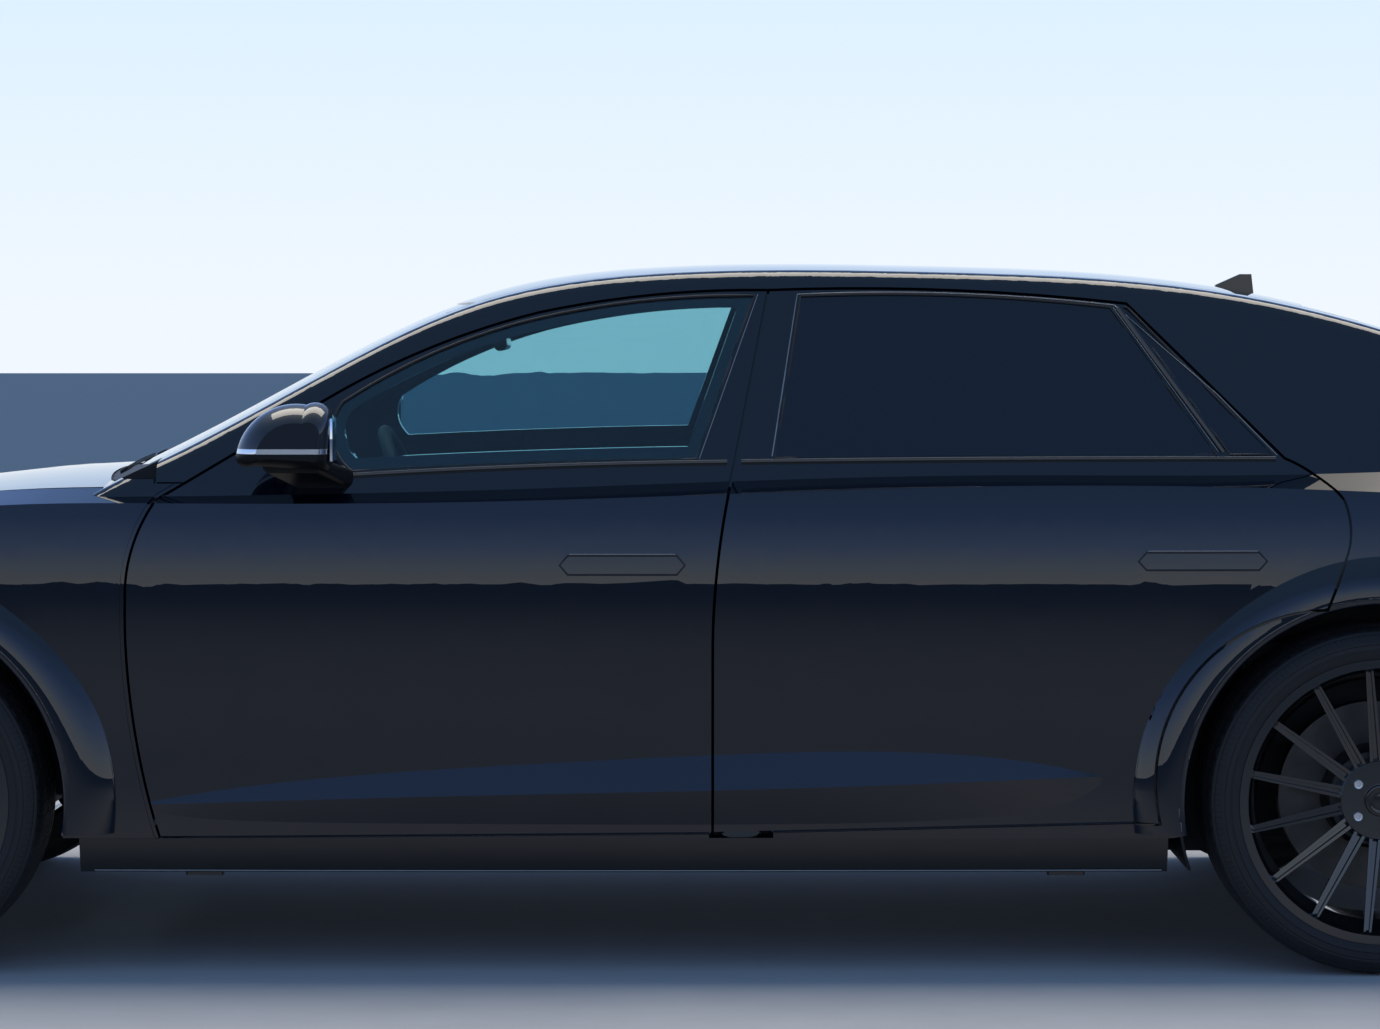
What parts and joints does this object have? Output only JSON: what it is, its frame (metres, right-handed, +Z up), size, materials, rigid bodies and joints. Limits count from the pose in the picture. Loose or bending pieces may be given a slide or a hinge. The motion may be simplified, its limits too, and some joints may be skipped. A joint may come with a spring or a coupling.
{
  "type": "full-size sedan",
  "caption": "Long low full-size sedan with thin-spoked wheels, opening doors, hood and boot lid, steered front wheels and a hollow cabin.",
  "frame": {"origin": "on the floor under the middle of the bounding box", "axes": "+X to the rear, +Y to the car's right, +Z up"},
  "size_m": [5.2748, 2.17, 1.5042],
  "materials": {
    "paint": "deep gloss black-blue",
    "glass": "tinted",
    "tyre": "matte",
    "gloss_black": "gloss black",
    "steel": "ground",
    "clear_lamp": "clear",
    "red_lamp": "red",
    "black_plastic": "grained",
    "chassis": "satin black",
    "cast": "cast",
    "leather": "soft",
    "trim": "soft touch"
  },
  "bodies": {
    "body": {"roof": "paint", "windscreen": "glass", "rear_window": "glass", "wheel_arch_liners": "black_plastic", "front_bumper": "paint", "rear_bumper": "paint", "headlamps": "clear_lamp", "tail_lamps": "red_lamp", "grille": "black_plastic", "cowl": "black_plastic", "side_sills": "black_plastic", "floor": "chassis", "front_suspension": "chassis", "rear_suspension": "chassis", "engine": "cast", "exhaust": "chassis", "fuel_tank": "black_plastic", "front_seats": "leather", "rear_seat": "leather", "dashboard": "trim", "aerial_fin": "paint", "wipers": "black_plastic", "front_fender_left": "paint", "front_fender_right": "paint", "side_frame_left": "paint", "side_frame_right": "paint"},
    "front_door_left": {"front_door_left": "paint", "front_door_glass_left": "glass", "front_door_handle_left": "paint", "mirror_left": "paint"},
    "rear_door_left": {"rear_door_left": "paint", "rear_door_glass_left": "glass", "rear_door_handle_left": "paint"},
    "front_knuckle_left": {"front_knuckle_left": "chassis"},
    "front_wheel_left": {"front_tyre_left": "tyre", "front_rim_left": "gloss_black", "front_brake_disc_left": "steel"},
    "rear_wheel_left": {"rear_tyre_left": "tyre", "rear_rim_left": "gloss_black", "rear_brake_disc_left": "steel"},
    "front_door_right": {"front_door_right": "paint", "front_door_glass_right": "glass", "front_door_handle_right": "paint", "mirror_right": "paint"},
    "rear_door_right": {"rear_door_right": "paint", "rear_door_glass_right": "glass", "rear_door_handle_right": "paint"},
    "front_knuckle_right": {"front_knuckle_right": "chassis"},
    "front_wheel_right": {"front_tyre_right": "tyre", "front_rim_right": "gloss_black", "front_brake_disc_right": "steel"},
    "rear_wheel_right": {"rear_tyre_right": "tyre", "rear_rim_right": "gloss_black", "rear_brake_disc_right": "steel"},
    "hood": {"hood": "paint"},
    "boot_lid": {"boot_lid": "paint"},
    "steering_wheel": {"steering_wheel": "trim"}
  },
  "joints": [
    {"name": "front_door_left_hinge", "type": "hinge", "parent": "body", "child": "front_door_left", "pos_m": [-1.156, -0.91693, 0.65], "axis": [0, 0, -1], "range_deg": [0, 66]},
    {"name": "rear_door_left_hinge", "type": "hinge", "parent": "body", "child": "rear_door_left", "pos_m": [0.073, -0.92571, 0.65], "axis": [0, 0, -1], "range_deg": [0, 66]},
    {"name": "front_door_right_hinge", "type": "hinge", "parent": "body", "child": "front_door_right", "pos_m": [-1.156, 0.91693, 0.65], "axis": [0, 0, 1], "range_deg": [0, 66]},
    {"name": "rear_door_right_hinge", "type": "hinge", "parent": "body", "child": "rear_door_right", "pos_m": [0.073, 0.92571, 0.65], "axis": [0, 0, 1], "range_deg": [0, 66]},
    {"name": "hood_hinge", "type": "hinge", "parent": "body", "child": "hood", "pos_m": [-1.246, 0, 1.04], "axis": [0, 1, 0], "range_deg": [0, 50]},
    {"name": "boot_lid_hinge", "type": "hinge", "parent": "body", "child": "boot_lid", "pos_m": [2.076, 0, 1.126], "axis": [0, -1, 0], "range_deg": [0, 75]},
    {"name": "steering_left", "type": "hinge", "parent": "body", "child": "front_knuckle_left", "pos_m": [-1.7625, -0.7355, 0.368], "axis": [0, 0, 1], "range_deg": [-35, 35]},
    {"name": "steering_right", "type": "hinge", "parent": "body", "child": "front_knuckle_right", "pos_m": [-1.7625, 0.7355, 0.368], "axis": [0, 0, 1], "range_deg": [-35, 35]},
    {"name": "steering_wheel_turn", "type": "hinge", "parent": "body", "child": "steering_wheel", "pos_m": [-0.64, -0.38, 0.965], "axis": [-0.9135, 0, -0.4067], "range_deg": [-470, 470]},
    {"name": "front_wheel_left_spin", "type": "hinge", "parent": "front_knuckle_left", "child": "front_wheel_left", "pos_m": [-1.7625, -0.8155, 0.368], "axis": [0, 1, 0], "continuous": true},
    {"name": "rear_wheel_left_spin", "type": "hinge", "parent": "body", "child": "rear_wheel_left", "pos_m": [1.4175, -0.8155, 0.368], "axis": [0, 1, 0], "continuous": true},
    {"name": "front_wheel_right_spin", "type": "hinge", "parent": "front_knuckle_right", "child": "front_wheel_right", "pos_m": [-1.7625, 0.8155, 0.368], "axis": [0, 1, 0], "continuous": true},
    {"name": "rear_wheel_right_spin", "type": "hinge", "parent": "body", "child": "rear_wheel_right", "pos_m": [1.4175, 0.8155, 0.368], "axis": [0, 1, 0], "continuous": true}
  ],
  "couplings": [
    {"joint": "steering_right", "follows": "steering_left", "ratio": 1},
    {"joint": "steering_wheel_turn", "follows": "steering_left", "ratio": 13}
  ]
}
